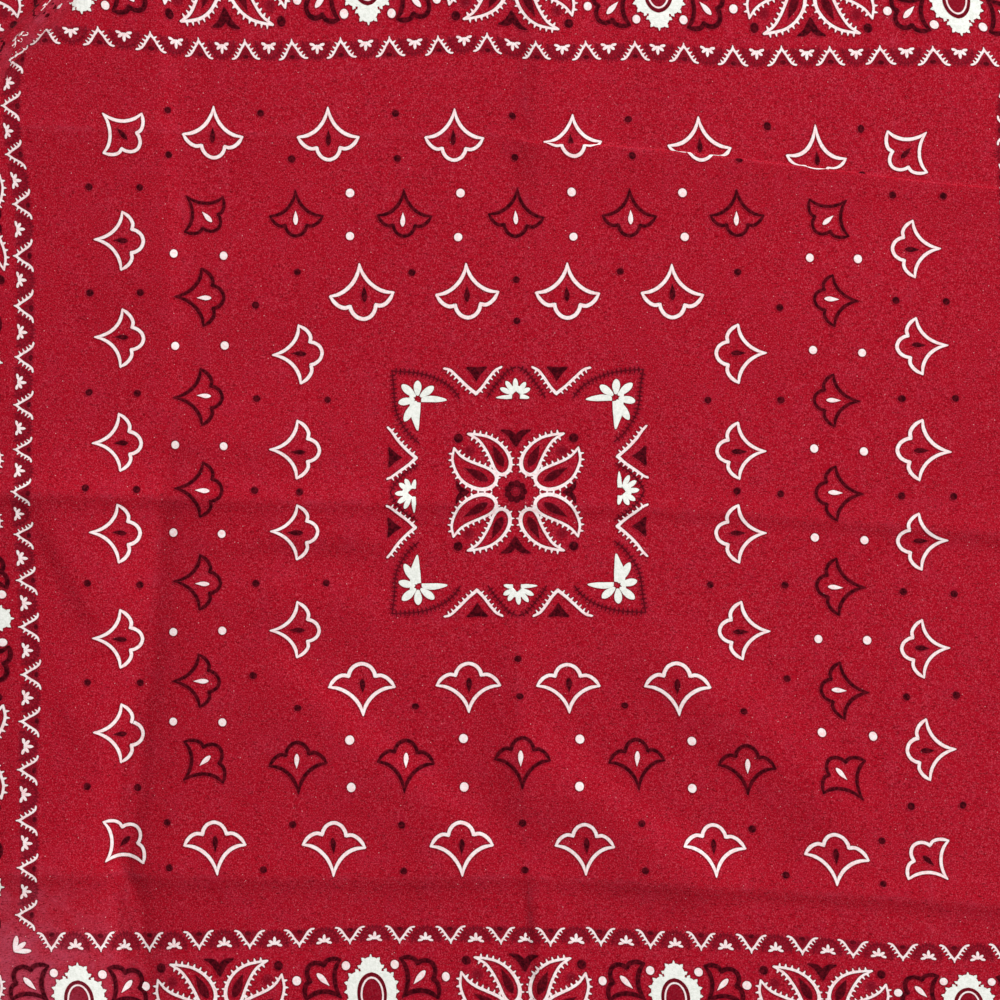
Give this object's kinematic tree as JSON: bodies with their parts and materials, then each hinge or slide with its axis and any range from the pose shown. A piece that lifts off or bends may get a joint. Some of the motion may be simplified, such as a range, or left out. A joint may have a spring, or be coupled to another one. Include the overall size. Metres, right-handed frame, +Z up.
{
  "type": "bandana",
  "caption": "Square cotton bandana with rolled hems, printed in white and dark on red, unfolded and lying flat with its storage creases.",
  "frame": {"origin": "middle of the laid cloth's outline, on the surface that it lies on", "axes": "+Z up from the surface, +X across the cloth to the right, +Y up the cloth to the top hem"},
  "size_m": [0.5702, 0.5364, 0.0069],
  "materials": {
    "printed_cotton": "thin plain-woven cotton dyed turkey red, matt with a faint sheen on the folds",
    "hem_cotton": "the same red cotton, rolled twice and stitched",
    "white_print": "white discharge print on the red cotton, matt",
    "dark_print": "dark plum overprint on the red cotton, matt and mottled",
    "hem_thread": "red cotton sewing thread"
  },
  "bodies": {
    "root": {"panel": "printed_cotton", "hem_top": "hem_cotton", "hem_bottom": "hem_cotton", "hem_left": "hem_cotton", "hem_right": "hem_cotton"}
  },
  "joints": []
}
